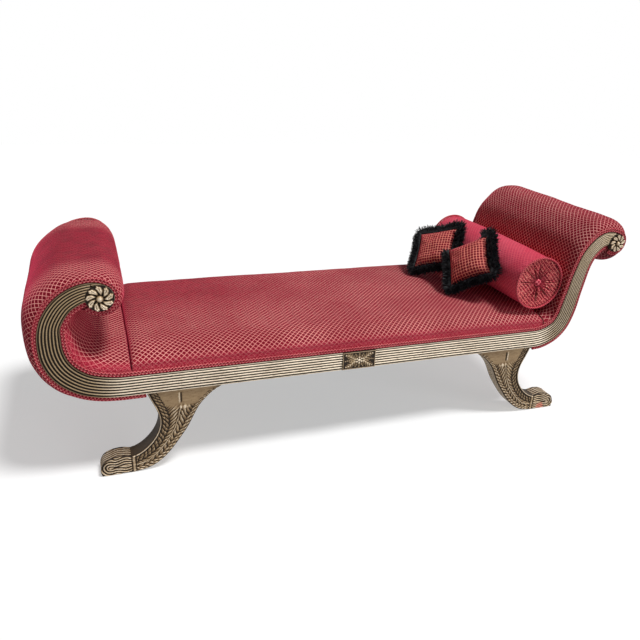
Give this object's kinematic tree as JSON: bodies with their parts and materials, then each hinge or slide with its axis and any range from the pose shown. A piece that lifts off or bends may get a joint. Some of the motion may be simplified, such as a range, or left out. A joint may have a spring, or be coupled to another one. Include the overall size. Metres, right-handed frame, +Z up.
{
  "type": "recamier",
  "caption": "Scroll-ended daybed with reeded side rails and sabre legs, padded seat and arms, a loose bolster and small fringed pillows.",
  "frame": {"origin": "on the floor, under the middle of the bounding box", "axes": "+X along the seat towards the higher, outward-rolling scroll, +Y away from the side the picture shows, +Z up"},
  "size_m": [2.18, 0.7476, 0.7765],
  "materials": {
    "carved_wood": "antique gilt, rubbed, dark in the grooves",
    "inner_wood": "plain sawn hardwood",
    "webbing": "jute webbing",
    "dust_cloth": "black lining cloth",
    "fringe": "black brush fringe",
    "welt_fabric": "corded welt in the cover fabric",
    "pillow_fabric": "woven lattice",
    "bolster_fabric": "woven lattice",
    "seat_fabric": "woven lattice"
  },
  "bodies": {
    "daybed": {"cross_rails": "inner_wood", "dust_cover": "dust_cloth", "left_arm_inside": "seat_fabric", "left_arm_outside": "seat_fabric", "left_arm_roll": "seat_fabric", "left_arm_slats": "inner_wood", "left_end_rail": "inner_wood", "left_leg_back": "carved_wood", "left_leg_front": "carved_wood", "left_roll_beam": "inner_wood", "left_rosette_back": "carved_wood", "left_rosette_front": "carved_wood", "left_scroll_back": "carved_wood", "left_scroll_front": "carved_wood", "left_welts_back": "welt_fabric", "left_welts_front": "welt_fabric", "leg_blocks": "inner_wood", "leg_dowels": "inner_wood", "long_rail_back": "carved_wood", "long_rail_front": "carved_wood", "right_arm_inside": "seat_fabric", "right_arm_outside": "seat_fabric", "right_arm_roll": "seat_fabric", "right_arm_slats": "inner_wood", "right_end_rail": "inner_wood", "right_leg_back": "carved_wood", "right_leg_front": "carved_wood", "right_roll_beam": "inner_wood", "right_rosette_back": "carved_wood", "right_rosette_front": "carved_wood", "right_scroll_back": "carved_wood", "right_scroll_front": "carved_wood", "right_welts_back": "welt_fabric", "right_welts_front": "welt_fabric", "seat_pad": "seat_fabric", "seat_webbing_cross": "webbing", "seat_webbing_long": "webbing", "seat_welt_back": "welt_fabric", "seat_welt_front": "welt_fabric", "tablet_back": "carved_wood", "tablet_front": "carved_wood"},
    "bolster": {"bolster": "bolster_fabric", "bolster_piping": "welt_fabric", "bolster_buttons": "bolster_fabric"},
    "front_pillow": {"front_pillow": "pillow_fabric", "front_pillow_fringe": "fringe"},
    "rear_pillow": {"rear_pillow": "pillow_fabric", "rear_pillow_fringe": "fringe"}
  },
  "joints": [
    {"name": "bolster_slide", "type": "slide", "parent": "daybed", "child": "bolster", "axis": [0, -1, 0], "range_m": [0, 0.35]},
    {"name": "front_pillow_lift", "type": "slide", "parent": "daybed", "child": "front_pillow", "axis": [-0.5002, -0.3001, 0.8123], "range_m": [0, 0.25]},
    {"name": "rear_pillow_lift", "type": "slide", "parent": "daybed", "child": "rear_pillow", "axis": [0, 0.9511, 0.309], "range_m": [0, 0.25]}
  ]
}
